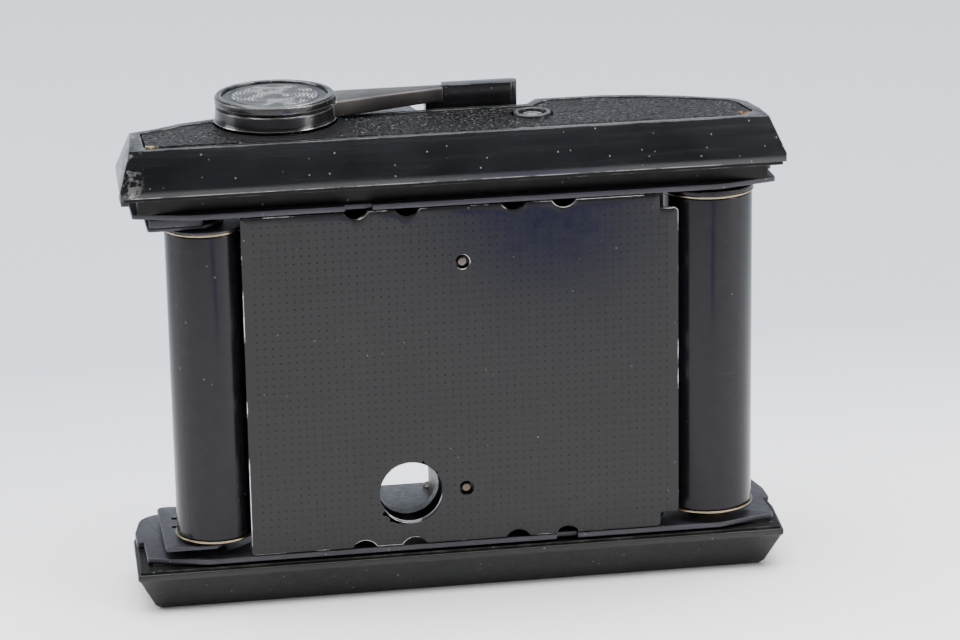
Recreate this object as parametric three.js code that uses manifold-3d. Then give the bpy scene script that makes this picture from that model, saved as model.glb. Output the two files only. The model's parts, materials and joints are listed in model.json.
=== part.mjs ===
// Film insert of a roll-film back: the carrier that slides out of the back to be loaded.
// It stands on its lower cover, seen from the film side. Millimetres, +Z up.
// In the local frame used here x runs to the right along the film, y runs back from the
// film plane (y = 0 is the front of the pressure plate) and z = 0 is the underside.
import * as THREE from 'three';
import { mergeVertices } from 'three/addons/utils/BufferGeometryUtils.js';
import Module from 'manifold-3d';

const wasm = await Module();
wasm.setup();

// ---- driving dimensions ------------------------------------------------------------
const FILM_SHIFT = -17.5;        // film plane's place in the finished frame
const SHEET = 1;                 // thickness of the two frame plates
const LOW_PLATE = 10.3;          // upper face of the lower plate
const PLATE_GAP = 68;            // a 120 spool is 65.4 long, so it drops between the plates
const HIGH_PLATE = LOW_PLATE + PLATE_GAP;
const TOUCH = 0.05;              // gap between pieces that rest on each other
const GUIDE_ROLLER = { x: -48.3, y: 7.5, r: 7.5 };
const MEASURING_ROLLER = { x: 49.7, y: 8.8, r: 8.8 };
const AXLE_R = 1.5;
const SPOOL_Y = 20.2;
const TAKE_UP_X = -32.6;
const SUPPLY_X = 31.4;
const LIP_LOW = 83.3;            // lower edge of the upper cover's lip
const LIP_HIGH = 84.9;
const TOP_FACE = 91.8;
const COVER_WALL = 1.9;
const BASE_LIP_LOW = 6.8;
const BASE_LIP_HIGH = 8.3;
const HUB_R = 11.6;
const HUB_TOP = 97.1;
const ARM_TOP = 95.2;
const SIGHT_HOLE = { x: -10.7, z: LOW_PLATE + 10.8, r: 6.15 };
const WINDOW = { x: 16.5, y: 14.4 };
const MODULE_MM = 0.6;           // counter gears
const PINION_TEETH = 12;
const WHEEL_TEETH = 36;
const GEAR_SPREAD = 0.12;        // extra centre distance, for backlash
const DIAL = { x: 24.3, y: 15.3 };

// ---- materials ---------------------------------------------------------------------
const finish = (color, roughness, metalness) =>
  new THREE.MeshStandardMaterial({ color, roughness, metalness });
const blackGloss = finish(0x0c0d0e, 0.3, 0.1);
const blackSatin = finish(0x1d1f1e, 0.5, 0.1);
const anodised = finish(0x26272c, 0.45, 0.6);
const plateGrey = finish(0x3a3b3c, 0.5, 0.4);
const leatherBlack = finish(0x161514, 0.75, 0);
const brass = finish(0xa07c45, 0.35, 1);
const steel = finish(0xa9a9a6, 0.35, 1);
const springSteel = finish(0x8d8c88, 0.3, 1);
const clear = finish(0xdfe6ea, 0.05, 0);
const dialWhite = finish(0xd8d8d2, 0.6, 0);
const wornLever = finish(0x35302d, 0.45, 0.5);

// ---- shape helpers -----------------------------------------------------------------
/** Outline through corners [x, y, radius]: corners with a radius become arcs. */
function outline(corners) {
  const points = [];
  corners.forEach(([x, y, r = 0], i) => {
    const here = new THREE.Vector2(x, y);
    if (!r) {
      points.push(here);
      return;
    }
    const before = corners[(i + corners.length - 1) % corners.length];
    const after = corners[(i + 1) % corners.length];
    const a = new THREE.Vector2(before[0], before[1]).sub(here).normalize();
    const b = new THREE.Vector2(after[0], after[1]).sub(here).normalize();
    const half = Math.acos(THREE.MathUtils.clamp(a.dot(b), -1, 1)) / 2;
    const centre = a.clone().add(b).normalize().multiplyScalar(r / Math.sin(half)).add(here);
    const start = here.clone().addScaledVector(a, r / Math.tan(half)).sub(centre);
    const turn = (Math.PI - 2 * half) * Math.sign(b.cross(a));
    const steps = Math.max(2, Math.ceil(Math.abs(turn) / 0.55));
    for (let k = 0; k <= steps; k++) {
      points.push(start.clone().rotateAround(new THREE.Vector2(), (turn * k) / steps).add(centre));
    }
  });
  return points;
}

const circle = (x, y, r, sides = 16) =>
  Array.from({ length: sides }, (_, k) => {
    const a = (2 * Math.PI * k) / sides;
    return new THREE.Vector2(x + r * Math.cos(a), y + r * Math.sin(a));
  });

/** A flat plate from z0 to z1 with its outline in x and y. */
function slab(points, z0, z1, holes = []) {
  const shape = new THREE.Shape(points);
  shape.holes = holes.map((hole) => new THREE.Path(hole));
  const geometry = new THREE.ExtrudeGeometry(shape, { depth: z1 - z0, bevelEnabled: false });
  return geometry.translate(0, 0, z0);
}

/** A plate standing up: its outline is in x and z, and it runs from y0 to y1. */
const upright = (points, y0, y1, holes = []) =>
  slab(points, 0, y1 - y0, holes).rotateX(Math.PI / 2).translate(0, y1, 0);

/** A box between two corners. */
function block([x0, y0, z0], [x1, y1, z1]) {
  const geometry = new THREE.BoxGeometry(x1 - x0, y1 - y0, z1 - z0);
  return geometry.translate((x0 + x1) / 2, (y0 + y1) / 2, (z0 + z1) / 2);
}

/** A turned piece about a vertical axis at x, y: the profile lists [radius, z]. */
function turned(x, y, profile, sides = 16) {
  const points = profile.map(([r, z]) => new THREE.Vector2(r, z));
  const closed = profile[0][0] > 0 ? [...points, points[0]] : points;
  return new THREE.LatheGeometry(closed, sides).rotateX(Math.PI / 2).translate(x, y, 0);
}

const ring = (x, y, inner, outer, z0, z1, sides = 16) =>
  turned(x, y, [[inner, z0], [outer, z0], [outer, z1], [inner, z1]], sides);

const rod = (x, y, r, z0, z1, sides = 16) => turned(x, y, [[0, z0], [r, z0], [r, z1], [0, z1]], sides);

/** Skin over a stack of outlines with equal point counts, closed flat at both ends. */
function loft(levels) {
  const count = levels[0].points.length;
  const positions = levels.flatMap(({ points, z }) => points.flatMap((p) => [p.x, p.y, z]));
  const index = [];
  for (let level = 0; level + 1 < levels.length; level++) {
    for (let k = 0; k < count; k++) {
      const [a, b] = [level * count + k, level * count + ((k + 1) % count)];
      index.push(a, b, b + count, a, b + count, a + count);
    }
  }
  for (const [level, flip] of [[0, true], [levels.length - 1, false]]) {
    for (const [a, b, c] of THREE.ShapeUtils.triangulateShape(levels[level].points, [])) {
      const first = level * count;
      index.push(...(flip ? [first + a, first + c, first + b] : [first + a, first + b, first + c]));
    }
  }
  const geometry = new THREE.BufferGeometry();
  geometry.setAttribute('position', new THREE.Float32BufferAttribute(positions, 3));
  geometry.setIndex(index);
  return geometry;
}

/** The outline moved inwards by a distance, each corner along its own bisector. */
function inset(points, distance) {
  return points.map((p, i) => {
    const before = points[(i + points.length - 1) % points.length];
    const after = points[(i + 1) % points.length];
    const a = p.clone().sub(before).normalize();
    const b = after.clone().sub(p).normalize();
    const normal = new THREE.Vector2(-(a.y + b.y), a.x + b.x).normalize();
    const stretch = Math.max(0.5, Math.sqrt((1 + a.dot(b)) / 2));
    return p.clone().addScaledVector(normal, distance / stretch);
  });
}

/** A closed geometry as a manifold solid, turned right side out if need be. */
function solid(geometry) {
  const bare = geometry.clone();
  bare.deleteAttribute('normal');
  bare.deleteAttribute('uv');
  const merged = mergeVertices(bare, 1e-4);
  const position = merged.getAttribute('position');
  const faces = [];
  let volume = 0;
  const corner = [new THREE.Vector3(), new THREE.Vector3(), new THREE.Vector3()];
  for (let i = 0; i < merged.index.count; i += 3) {
    const [a, b, c] = [0, 1, 2].map((k) => merged.index.getX(i + k));
    if (a === b || b === c || c === a) continue;
    [a, b, c].forEach((v, k) => corner[k].fromBufferAttribute(position, v));
    volume += corner[0].dot(corner[1].clone().cross(corner[2]));
    faces.push([a, b, c]);
  }
  const triVerts = new Uint32Array(faces.flatMap(([a, b, c]) => (volume < 0 ? [a, c, b] : [a, b, c])));
  const vertProperties = new Float32Array(position.array);
  return new wasm.Manifold(new wasm.Mesh({ numProp: 3, vertProperties, triVerts }));
}

const join = (first, ...rest) => rest.reduce((all, next) => all.add(solid(next)), solid(first));
const cut = (body, ...tools) => tools.reduce((all, next) => all.subtract(solid(next)), body);

/** Toothed outline: straight-sided teeth narrow enough to run with backlash. */
function toothed(teeth, first) {
  const pitchR = (MODULE_MM * teeth) / 2;
  const step = (2 * Math.PI) / teeth;
  const levels = [[-0.31, -1.25], [-0.09, 0.9], [0.09, 0.9], [0.31, -1.25]];
  const points = [];
  for (let k = 0; k < teeth; k++) {
    for (const [across, up] of levels) {
      const r = pitchR + up * MODULE_MM;
      const a = first + (k + across) * step;
      points.push(new THREE.Vector2(r * Math.cos(a), r * Math.sin(a)));
    }
  }
  return points;
}

/** Wire following a helix about a vertical axis. */
function coil(x, y, r, z0, z1, turns, wire, sides = 4) {
  class Helix extends THREE.Curve {
    getPoint(t, target = new THREE.Vector3()) {
      const a = 2 * Math.PI * turns * t;
      return target.set(x + r * Math.cos(a), y + r * Math.sin(a), z0 + wire + (z1 - z0 - 2 * wire) * t);
    }
  }
  const section = new THREE.Shape(circle(0, 0, wire, sides));
  const steps = Math.round(turns * 10);
  return new THREE.ExtrudeGeometry(section, { steps, bevelEnabled: false, extrudePath: new Helix() });
}

// ---- assembly ----------------------------------------------------------------------
const insert = new THREE.Group();
insert.position.y = FILM_SHIFT;

function add(name, shape, material) {
  const body = shape instanceof wasm.Manifold ? shape : solid(shape);
  const mesh = body.getMesh();
  const geometry = new THREE.BufferGeometry();
  geometry.setAttribute('position', new THREE.BufferAttribute(new Float32Array(mesh.vertProperties), 3));
  geometry.setIndex(new THREE.BufferAttribute(new Uint32Array(mesh.triVerts), 1));
  geometry.computeVertexNormals();
  const piece = new THREE.Mesh(geometry, material);
  piece.name = name;
  insert.add(piece);
}

// ---- frame plates ------------------------------------------------------------------
/** Plan of both frame plates, with a notch of the front edge from x0 to x1. */
const platePlan = (x0, x1) => outline([
  [-50.5, 0], [x0, 0], [x0, 1.3], [x1, 1.3], [x1, 0], [50.5, 0], [62, 3.3], [62, 12.5],
  [63.4, 12.5, 0.5], [63.4, 18], [61.8, 26.2, 5], [54.6, 29.3], [31, 35.3, 6], [-31, 35.3, 6],
  [-54.6, 29.3], [-61.8, 26.2, 5], [-63.4, 18], [-63.4, 12.5, 0.5], [-62, 12.5], [-62, 3.3],
]);

const pinHole = (x) => circle(x, SPOOL_Y, 3.2);
const shaftHole = circle(MEASURING_ROLLER.x, MEASURING_ROLLER.y, 2.6, 16);
add('bottom_plate', slab(platePlan(17.9, 22), LOW_PLATE - SHEET, LOW_PLATE,
  [pinHole(TAKE_UP_X), pinHole(SUPPLY_X), shaftHole]), anodised);
add('top_plate', slab(platePlan(-22, -16.8), HIGH_PLATE, HIGH_PLATE + SHEET,
  [circle(TAKE_UP_X, SPOOL_Y, 3.6), circle(SUPPLY_X, SPOOL_Y, 2.1, 16), shaftHole]),
anodised);

// ---- backing plate and centre partition behind the pressure plate --------------------
const BACKING = { y0: 5.4, y1: 6.6, left: -39.9, right: 40.4 };
const GUIDE_PINS = [LOW_PLATE + 11, LOW_PLATE + 56.7];
const wallLow = LOW_PLATE + TOUCH;
const wallHigh = HIGH_PLATE - TOUCH;
{
  const face = outline([
    [BACKING.left, wallLow, 1], [BACKING.right, wallLow, 1],
    [BACKING.right, wallHigh, 1], [BACKING.left, wallHigh, 1],
  ]);
  const holes = GUIDE_PINS.map((z) => circle(0.15, z, 0.9, 8));
  const sheet = upright(face, BACKING.y0, BACKING.y1, holes);
  const collar = upright(circle(SIGHT_HOLE.x, SIGHT_HOLE.z, SIGHT_HOLE.r + 0.8, 24), 5.6, 7.9);
  const feet = [wallLow, wallHigh - 0.8].map((z) => block([2, 6, z], [18, 12, z + 0.8]));
  const sight = upright(circle(SIGHT_HOLE.x, SIGHT_HOLE.z, SIGHT_HOLE.r, 24), 4, 9);
  add('backing_plate', cut(join(sheet, collar, ...feet), sight), blackSatin);
}
add('centre_partition', join(
  block([-3.4, 6.65, wallLow], [-2.4, 28, wallHigh]),
  block([-3.4, 27, wallLow], [5, 28, wallHigh]),
), blackSatin);
for (const [k, z] of GUIDE_PINS.entries()) {
  const pin = turned(0, 0, [[0, 0.35], [0.8, 0.35], [1.05, 0.6], [1.05, 1.1], [0.7, 1.1], [0.7, 4.8],
    [1.3, 4.8], [1.3, 5.35], [0.7, 5.35], [0.7, 6.65], [1.2, 6.65], [0.8, 7.1], [0, 7.1]], 8);
  const name = `guide_pin_${['lower', 'upper'][k]}`;
  add(name, pin.rotateX(-Math.PI / 2).translate(0.15, 0, z), steel);
}

// ---- pressure plate and its two leaf springs -----------------------------------------
const PLATE = { left: -42, right: 42.2, low: LOW_PLATE + 0.2, high: HIGH_PLATE - 0.25, step: 3.6 };
{
  const { left, right, low, high, step } = PLATE;
  const notch = (x, z, way) => Array.from({ length: 5 }, (_, k) => {
    const a = (Math.PI * k) / 4;
    return [x - way * 1.9 * Math.cos(a), z + way * 1.9 * Math.sin(a)];
  });
  const notches = [-20, -10.2, 10.2, 20];
  const face = outline([
    [left, low, 0.4], ...notches.flatMap((x) => notch(x, low, 1)), [right - step, low, 1],
    [right - step, low + 2.7], [right, low + 2.7, 1], [right, high - 2.7, 1],
    [right - step, high - 2.7], [right - step, high, 1],
    ...notches.reverse().flatMap((x) => notch(x, high, -1)),
    [left, high, 0.4],
  ]);
  const sight = circle(SIGHT_HOLE.x, SIGHT_HOLE.z, SIGHT_HOLE.r, 24);
  const panel = upright(face, 0, 1.4, [sight, ...GUIDE_PINS.map((z) => circle(0.15, z, 0.95, 8))]);
  const rims = [left + 0.8, right - 1.6].map((x0) =>
    block([x0, 1, low + 3.7], [x0 + 0.8, 2.1, high - 3.7]));
  const counterbores = GUIDE_PINS.map((z) => upright(circle(0.15, z, 1.4, 12), -1, 1.2));
  add('pressure_plate', cut(join(panel, ...rims), ...counterbores), plateGrey);
}
for (const [name, z] of [['leaf_spring_lower', LOW_PLATE + 25], ['leaf_spring_upper', LOW_PLATE + 45]]) {
  const bow = (x, lift) => new THREE.Vector2(x, 5.1 - 3.4 * Math.cos((x * Math.PI) / 56) + lift);
  const xs = Array.from({ length: 11 }, (_, k) => -28 + 5.6 * k);
  const strip = [...xs.map((x) => bow(x, 0)), ...xs.reverse().map((x) => bow(x, 0.25))];
  add(name, slab(strip, z - 3, z + 3), springSteel);
}

// ---- left roller on its two sheet brackets -------------------------------------------
const bracketPlan = (left, right, front) => outline([
  [left, front, 0.8], [right, front, 0.8], [-45.2, 4.6, 1.5], [-44.3, 7.5, 2], [-45.2, 11.4, 1.5],
  [right, 15, 1], [right, 24, 1], [left, 25, 1.5],
]);
{
  const low = { z0: LOW_PLATE + 1.7, z1: LOW_PLATE + 2.5 };
  const small = [[-55.5, 17.8], [-55.8, 13]].map(([x, y]) => circle(x, y, 0.7, 10));
  const bore = circle(GUIDE_ROLLER.x, GUIDE_ROLLER.y, AXLE_R + 0.1, 16);
  const shelf = slab(bracketPlan(-58.5, -48.6, 1.2), low.z0, low.z1, [bore, ...small]);
  const foot = block([-58.2, 18.5, LOW_PLATE + TOUCH], [-49, 24, low.z0 + 0.3]);
  add('left_bracket_lower', join(shelf, foot), anodised);
  const high = { z0: LOW_PLATE + 65.6, z1: LOW_PLATE + 66.4 };
  const tab = slab(bracketPlan(-59.3, -48.7, 2), high.z0, high.z1, [bore]);
  const head = block([-59, 18.5, high.z1 - 0.3], [-49.2, 24, HIGH_PLATE - TOUCH]);
  const web = block([-49.5, 2.8, high.z1 - 0.3], [-48.7, 5, HIGH_PLATE - TOUCH]);
  const face = block([-58.9, 2.2, high.z1 - 0.3], [-49.1, 3, HIGH_PLATE - TOUCH]);
  add('left_bracket_upper', join(tab, head, web, face), anodised);
  add('left_roller_axle', turned(GUIDE_ROLLER.x, GUIDE_ROLLER.y, [
    [0, LOW_PLATE + 0.6], [2.4, LOW_PLATE + 0.6], [2.4, low.z0 - TOUCH], [AXLE_R, low.z0 - TOUCH],
    [AXLE_R, high.z1 + TOUCH], [2.4, high.z1 + TOUCH], [2.4, high.z1 + 0.9], [0, high.z1 + 0.9],
  ], 16), steel);
}

/** A roller tube with a brass washer at each end. */
function roller(side, { x, y, r }, z0, z1) {
  const bore = AXLE_R + 0.15;
  const tube = turned(x, y, [
    [bore, z0], [r - 0.3, z0], [r, z0 + 0.3], [r, z1 - 0.3], [r - 0.3, z1], [bore, z1],
  ], 28);
  add(`${side}_roller`, tube, anodised);
  add(`${side}_roller_washer_lower`, ring(x, y, bore, r + 0.4, z0 - 0.45, z0 - TOUCH, 24), brass);
  add(`${side}_roller_washer_upper`, ring(x, y, bore, r + 0.4, z1 + TOUCH, z1 + 0.45, 24), brass);
}
roller('left', GUIDE_ROLLER, LOW_PLATE + 3.7, LOW_PLATE + 64.6);

// ---- right roller: it measures the film and drives the counter -----------------------
roller('right', MEASURING_ROLLER, LOW_PLATE + 2.5, LOW_PLATE + 66.1);
const rollerAt = new THREE.Vector2(MEASURING_ROLLER.x, MEASURING_ROLLER.y);
add('right_roller_disc', ring(rollerAt.x, rollerAt.y, AXLE_R + 0.15, MEASURING_ROLLER.r + 0.3,
  LOW_PLATE + 66.6, LOW_PLATE + 67.5, 24), anodised);
add('right_roller_bush_lower', turned(rollerAt.x, rollerAt.y, [
  [AXLE_R + 0.1, 8.9], [2.45, 8.9], [2.45, LOW_PLATE + TOUCH], [4, LOW_PLATE + TOUCH],
  [4, LOW_PLATE + 1.8], [AXLE_R + 0.1, LOW_PLATE + 1.8],
], 20), brass);
add('right_roller_bush_upper', turned(rollerAt.x, rollerAt.y, [
  [AXLE_R + 0.1, HIGH_PLATE], [2.45, HIGH_PLATE], [2.45, HIGH_PLATE + SHEET + TOUCH],
  [3.4, HIGH_PLATE + SHEET + TOUCH], [3.4, HIGH_PLATE + 1.5], [AXLE_R + 0.1, HIGH_PLATE + 1.5],
], 20), brass);
add('right_roller_shaft', rod(rollerAt.x, rollerAt.y, AXLE_R, 8.6, 82.4, 16), steel);

// ---- frame counter: roller pinion, compound idler, dial gear and dial ------------------
const centreDistance = (MODULE_MM * (PINION_TEETH + WHEEL_TEETH)) / 2 + GEAR_SPREAD;
const dialAt = new THREE.Vector2(DIAL.x, DIAL.y);
const half = rollerAt.clone().sub(dialAt).multiplyScalar(0.5);
const sideways = Math.sqrt(centreDistance ** 2 - half.lengthSq());
const idlerAt = new THREE.Vector2(-half.y, half.x).setLength(sideways).add(half).add(dialAt);
const LOWER_GEARS = [80, 81.2];
const UPPER_GEARS = [81.6, 82.8];

/** A gear at a place, its first tooth turned to an angle, with a bore in its middle. */
const gear = (at, teeth, first, [z0, z1], bore) =>
  slab(toothed(teeth, first), z0, z1, [circle(0, 0, bore, 16)]).translate(at.x, at.y, 0);
const towards = (from, to) => to.clone().sub(from).angle();
const gapFacing = (from, to, teeth) => towards(from, to) + Math.PI / teeth;

add('measuring_pinion', gear(rollerAt, PINION_TEETH, towards(rollerAt, idlerAt), LOWER_GEARS,
  AXLE_R + 0.1), brass);
add('counter_idler', join(
  gear(idlerAt, WHEEL_TEETH, gapFacing(idlerAt, rollerAt, WHEEL_TEETH), LOWER_GEARS, AXLE_R + 0.1),
  ring(idlerAt.x, idlerAt.y, AXLE_R + 0.1, 2.8, LOWER_GEARS[0], UPPER_GEARS[1], 16),
  gear(idlerAt, PINION_TEETH, towards(idlerAt, dialAt), UPPER_GEARS, AXLE_R + 0.1),
), brass);
add('counter_gear', join(
  gear(dialAt, WHEEL_TEETH, gapFacing(dialAt, idlerAt, WHEEL_TEETH), UPPER_GEARS, AXLE_R + 0.1),
  ring(DIAL.x, DIAL.y, AXLE_R + 0.1, 3, UPPER_GEARS[0], 84.45, 16),
), brass);
add('counter_dial', ring(DIAL.x, DIAL.y, AXLE_R + 0.1, 9.8, 84.5, 85.2, 24), dialWhite);
const deck = HIGH_PLATE + SHEET + TOUCH;
add('idler_post', turned(idlerAt.x, idlerAt.y, [[0, deck], [2.4, deck], [2.4, 79.9], [AXLE_R, 79.9],
  [AXLE_R, 83.6], [0, 83.6]], 16), steel);
add('dial_post', turned(DIAL.x, DIAL.y, [[0, deck], [2.4, deck], [2.4, 81.5], [AXLE_R, 81.5],
  [AXLE_R, 85.8], [0, 85.8]], 16), steel);

// ---- covers ------------------------------------------------------------------------
// Matching corners of the upper cover: [x, y] at the lip, then [x, y] at the top face.
const COVER_CORNERS = [
  [-64.2, -0.9, -62, 2], [63.2, -0.9, 60.4, 2], [64.2, 12.5, 60, 8.1], [63.7, 19, 58.9, 14.1],
  [61.6, 26.8, 57.1, 16.8], [54.8, 30.2, 47.2, 21.5], [43.5, 33.2, 39.7, 24], [31.5, 36, 32, 25.5],
  [20, 36, 21, 25.5], [0, 36, 0, 25.5], [-24, 36, -24, 25.5], [-31.5, 36, -36, 25.5],
  [-43.5, 33.2, -44, 23.9], [-54.8, 30.2, -50.9, 21.5], [-61.6, 26.8, -55.9, 18.3],
  [-63.7, 19, -61, 16.2],
];
const lipPlan = COVER_CORNERS.map(([x, y]) => new THREE.Vector2(x, y));
const topPlan = COVER_CORNERS.map(([, , x, y]) => new THREE.Vector2(x, y));
const POCKET = { x0: -5, x1: 16.6, y: 21.8, floor: 87.5 };
/** Plan of the lever's pocket, cut from the rear of the cover and open behind. */
const pocketPlan = (grow) => [
  new THREE.Vector2(POCKET.x0 - grow, POCKET.y - grow), new THREE.Vector2(POCKET.x1 + grow, POCKET.y - grow),
  new THREE.Vector2(19.1 + grow, 25.6), new THREE.Vector2(26 + grow, 38),
  new THREE.Vector2(POCKET.x0 - 3 - grow, 38),
];
const boss = { r: 11.2, hollow: 9.6, ceiling: 89.6 };
{
  const outer = loft([{ points: lipPlan, z: LIP_LOW }, { points: lipPlan, z: LIP_HIGH },
    { points: topPlan, z: TOP_FACE }]);
  const cavity = cut(solid(loft([
    { points: inset(lipPlan, COVER_WALL), z: LIP_LOW - 1 },
    { points: inset(lipPlan, COVER_WALL), z: LIP_HIGH - 0.4 },
    { points: inset(topPlan, COVER_WALL), z: TOP_FACE - COVER_WALL },
  ])), slab(pocketPlan(1.4), POCKET.floor - 1.4, TOP_FACE));
  const post = rod(TAKE_UP_X, SPOOL_Y, boss.r, LIP_HIGH, TOP_FACE, 24);
  const hollow = rod(TAKE_UP_X, SPOOL_Y, boss.hollow, LIP_LOW - 1, boss.ceiling, 24);
  const bore = rod(TAKE_UP_X, SPOOL_Y, 3.3, 80, 95);
  const windowBore = rod(WINDOW.x, WINDOW.y, 3.8, 84, 95);
  const shell = cut(solid(outer), slab(pocketPlan(0), POCKET.floor, TOP_FACE + 1)).subtract(cavity);
  const recess = slab(leatherPlan(0), TOP_FACE - 0.9, TOP_FACE + 1);
  const whole = shell.add(cut(solid(post), hollow)).subtract(solid(hollow));
  add('top_cover', cut(whole, bore, windowBore, recess), blackGloss);
}

/** Plan of the leather's recess, or of the leather itself when it is drawn smaller. */
function leatherPlan(less) {
  return inset(outline([
    [-59.1, 3.6, 0.8], [55, 3.3, 2], [58.4, 6.5, 2], [57, 14.5, 2], [55.4, 16.4, 2], [46.6, 20.3],
    [39.4, 22.6], [31.6, 24.1], [20.6, 24.1, 2], [17.6, 20.4, 1], [-24, 20.4],
    [-31, 8.4], [-45.2, 21.4], [-50.3, 19.9], [-55.4, 17.2], [-59.1, 15.6, 1],
  ]), less);
}
{
  const sheet = slab(leatherPlan(0.35), TOP_FACE - 0.85, TOP_FACE - 0.1);
  const hubHole = rod(TAKE_UP_X, SPOOL_Y, HUB_R + 0.4, 90, 93, 28);
  const ringHole = rod(WINDOW.x, WINDOW.y, 4.1, 90, 93);
  add('leather_panel', cut(solid(sheet), hubHole, ringHole), leatherBlack);
}
add('window_ring', ring(WINDOW.x, WINDOW.y, 2.75, 3.6, 86.3, TOP_FACE + 0.3), blackSatin);
add('window_lens', rod(WINDOW.x, WINDOW.y, 2.6, 89.8, 90.6), clear);

/** A light-trap band: an upright wall with a flange that closes the cover's open side. */
function neck(name, plan, wall, flange) {
  const band = slab(inset(plan, 3.2), ...wall, [inset(plan, 4)]);
  const rim = slab(inset(plan, 0.6), ...flange, [inset(plan, 3.9)]);
  add(name, join(band, rim), blackSatin);
}
neck('top_neck', lipPlan, [deck, LIP_LOW - TOUCH], [LIP_LOW - 0.8, LIP_LOW - TOUCH]);
neck('bottom_neck', lipPlan, [BASE_LIP_HIGH + TOUCH, LOW_PLATE - SHEET - TOUCH],
  [BASE_LIP_HIGH + TOUCH, BASE_LIP_HIGH + 0.5]);

{
  const foot = COVER_CORNERS.map(([x, y]) => new THREE.Vector2(x * 0.95, 2 + (y + 0.9) * 0.86));
  const outer = loft([{ points: inset(foot, 1), z: 0 }, { points: foot, z: 1 },
    { points: inset(lipPlan, 0.4), z: BASE_LIP_LOW }, { points: lipPlan, z: BASE_LIP_LOW + 0.3 },
    { points: lipPlan, z: BASE_LIP_HIGH }]);
  const inside = loft([{ points: inset(foot, 1.8), z: 1.6 },
    { points: inset(lipPlan, 2), z: BASE_LIP_LOW }, { points: inset(lipPlan, 2), z: 9 }]);
  add('bottom_cover', cut(solid(outer), inside), blackSatin);
}

// ---- spool pins --------------------------------------------------------------------
for (const [side, x] of [['take_up', TAKE_UP_X], ['supply', SUPPLY_X]]) {
  add(`${side}_pin_housing`, turned(x, SPOOL_Y, [[0, 1.65], [5.4, 1.65], [5.4, 9.2], [4.4, 9.2],
    [4.4, 2.6], [0, 2.6]]), steel);
  add(`${side}_lower_pin`, turned(x, SPOOL_Y, [[0, 6.8], [1.3, 6.8], [1.3, 8], [3.9, 8], [3.9, 8.9],
    [2.9, 8.9], [2.9, 12.6], [2.1, 13.5], [0, 13.5]]), steel);
  add(`${side}_pin_spring`, coil(x, SPOOL_Y, 3.2, 2.7, 7.9, 2.2, 0.25), springSteel);
}
add('supply_upper_pin', turned(SUPPLY_X, SPOOL_Y, [[0, 74.8], [2.1, 74.8], [2.9, 75.7], [2.9, 78.2],
  [1.8, 78.2], [1.8, deck], [3, deck], [3, 79.75], [0, 79.75]]), steel);

// ---- take-up key, one-way clutch and winding lever -----------------------------------
add('take_up_bush', turned(TAKE_UP_X, SPOOL_Y, [[2.75, 78.3], [3.45, 78.3], [3.45, deck], [5, deck],
  [5, 79.95], [2.75, 79.95]]), brass);
{
  const shaft = turned(TAKE_UP_X, SPOOL_Y, [[0, 74.7], [2.3, 74.7], [2.9, 75.3], [2.9, 78], [2.6, 78],
    [2.6, 80.1], [4, 80.1], [4, 82], [0, 82]]);
  const wing = block([TAKE_UP_X - 4.3, SPOOL_Y - 0.8, 74.9], [TAKE_UP_X + 4.3, SPOOL_Y + 0.8, 77.9]);
  add('take_up_key', join(shaft, wing), steel);
}
add('clutch_spring', coil(TAKE_UP_X, SPOOL_Y, 4.5, 80.4, 83.7, 4, 0.3), springSteel);
add('lever_shaft', turned(TAKE_UP_X, SPOOL_Y, [[0, 82.1], [4, 82.1], [4, 84], [3, 84], [3, 95], [0, 95]]),
  steel);
{
  class Spiral extends THREE.Curve {
    getPoint(t, target = new THREE.Vector3()) {
      const a = 2 * Math.PI * 2.6 * t;
      const r = 3.6 + 5.2 * t;
      return target.set(TAKE_UP_X + r * Math.cos(a), SPOOL_Y + r * Math.sin(a), 86);
    }
  }
  const centres = new Spiral().getPoints(34);
  const side = (offset) => centres.map((p) => {
    const out = new THREE.Vector2(p.x - TAKE_UP_X, p.y - SPOOL_Y).normalize();
    return new THREE.Vector2(p.x + out.x * offset, p.y + out.y * offset);
  });
  add('lever_return_spring', slab([...side(0), ...side(0.25).reverse()], 85, 87), springSteel);
}
{
  const body = turned(TAKE_UP_X, SPOOL_Y, [[3.3, 92.1], [HUB_R, 92.1], [HUB_R, ARM_TOP], [3.3, ARM_TOP]], 32);
  const arm = slab([[-24, 26.2], [-24, 15.6], [-21, 16.8], [-11.5, 20.1], [0.45, 23.3], [0.45, 26.2]]
    .map(([x, y]) => new THREE.Vector2(x, y)), 92.4, ARM_TOP + 0.4);
  const under = upright([[-20.9, 92.3], [0.6, 92.3], [0.6, 92.8], [-20.9, 92.42]]
    .map(([x, z]) => new THREE.Vector2(x, z)), 15, 27);
  const capSeat = rod(TAKE_UP_X, SPOOL_Y, HUB_R + 0.3, ARM_TOP, ARM_TOP + 1);
  const tongue = block([-1, 24.5, 93.5], [13.4, 25.3, 94.7]);
  add('wind_lever', cut(join(body, arm), under, capSeat).add(solid(tongue)), wornLever);
  const grip = slab(outline([[0.6, 23.2], [14, 23.2, 1.2], [15.3, 24.4, 1], [15.2, 26.5, 1],
    [0.6, 26.5]]), 89.9, 96);
  const heel = block([-2.9, 23.4, 89.9], [2, 26.3, 92.5]);
  add('finger_piece', cut(join(grip, heel), block([0, 24.2, 92.9], [13.7, 25.6, 95])), blackGloss);
}
add('hub_cap', turned(TAKE_UP_X, SPOOL_Y, [[0, 95.25], [11.2, 95.25], [HUB_R, 95.6], [HUB_R, 96.6],
  [11.1, HUB_TOP], [10.2, HUB_TOP], [10.2, 96.4], [0, 96.4]], 32), blackSatin);
add('hub_disc', rod(TAKE_UP_X, SPOOL_Y, 10, 96.45, 96.65, 32), anodised);

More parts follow.
